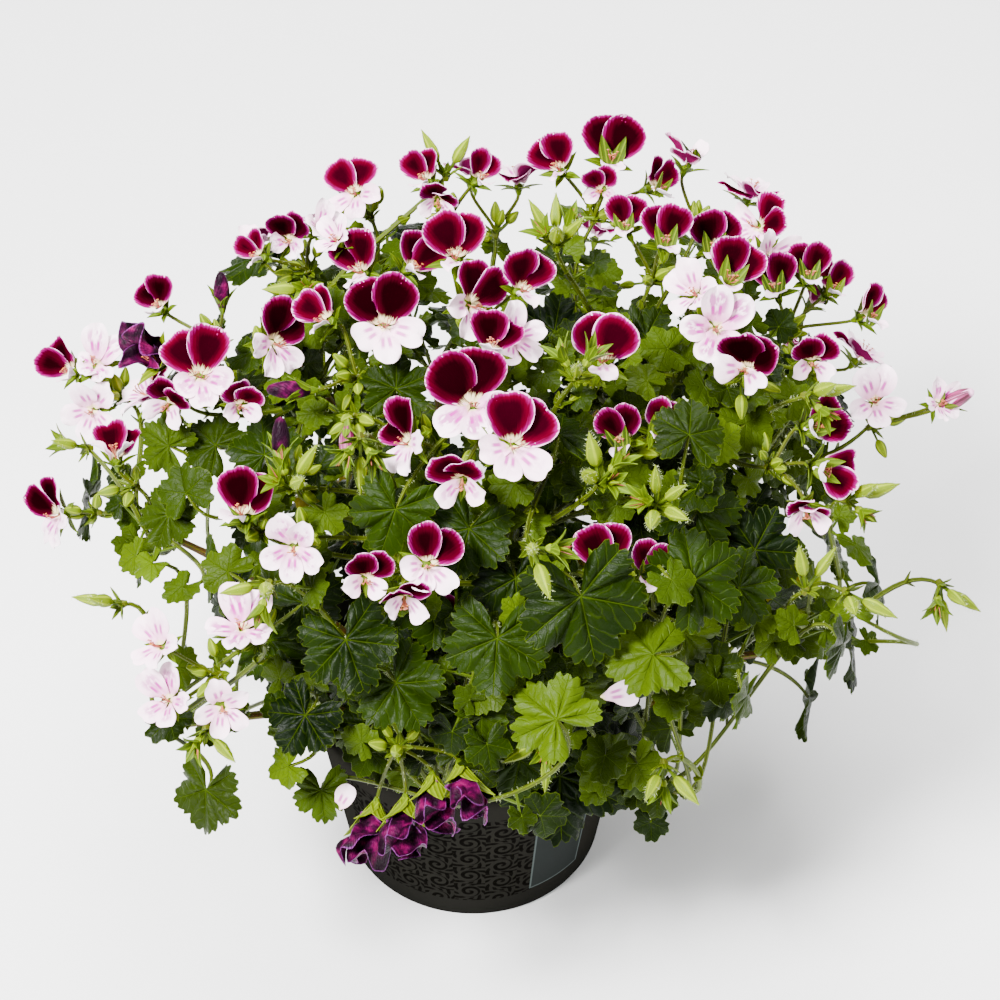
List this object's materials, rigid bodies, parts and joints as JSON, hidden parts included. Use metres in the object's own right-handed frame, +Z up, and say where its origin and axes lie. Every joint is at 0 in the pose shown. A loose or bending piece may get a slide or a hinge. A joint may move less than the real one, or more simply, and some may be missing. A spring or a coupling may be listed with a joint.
{
  "type": "potted angel pelargonium",
  "caption": "Free-standing potted angel pelargonium: tapered round pot with a rolled lip, soil, branching leafy stems with lobed leaves, and umbels of two-coloured flowers and buds.",
  "frame": {"origin": "Middle of the flat underside of the pot, on the standing plane.", "axes": "+Z points up, along the pot's axis. -Y points to the side seen from the front, +X to its right."},
  "size_m": [0.4201, 0.3539, 0.3668],
  "materials": {
    "pot": "matt dark taupe-grey polypropylene with a fine black scroll print",
    "soil": "moist dark peat-based soil, crumbly",
    "foliage": "soft green, finely hairy, satin",
    "flowers": "velvety petals: maroon with a magenta band and pale rim above, pinkish white below"
  },
  "bodies": {
    "root": {"pot": "pot", "soil": "soil", "leafy_stem_01": "foliage", "leafy_stem_02": "foliage", "leafy_stem_03": "foliage", "leafy_stem_04": "foliage", "leafy_stem_05": "foliage", "leafy_stem_06": "foliage", "leafy_stem_07": "foliage", "leafy_stem_08": "foliage", "leafy_stem_09": "foliage", "leafy_stem_10": "foliage", "leafy_stem_11": "foliage", "leafy_stem_12": "foliage", "head_01": "flowers", "head_02": "flowers", "head_03": "flowers", "head_04": "flowers", "head_05": "flowers", "head_06": "flowers", "head_07": "flowers", "head_08": "flowers", "head_09": "flowers", "head_10": "flowers", "head_11": "flowers", "head_12": "flowers", "head_13": "flowers", "head_14": "flowers", "head_15": "flowers", "head_16": "flowers", "head_17": "flowers", "head_18": "flowers", "head_19": "flowers", "head_20": "flowers", "head_21": "flowers", "head_22": "flowers", "head_23": "flowers", "head_24": "flowers", "head_25": "flowers", "head_26": "flowers", "head_27": "flowers", "head_28": "flowers", "head_29": "flowers", "head_30": "flowers", "head_31": "flowers", "head_32": "flowers", "head_33": "flowers", "head_34": "flowers", "head_35": "flowers", "head_36": "flowers", "head_37": "flowers", "head_38": "flowers", "head_39": "flowers", "head_40": "flowers", "head_41": "flowers", "head_42": "flowers", "head_43": "flowers"}
  },
  "joints": []
}
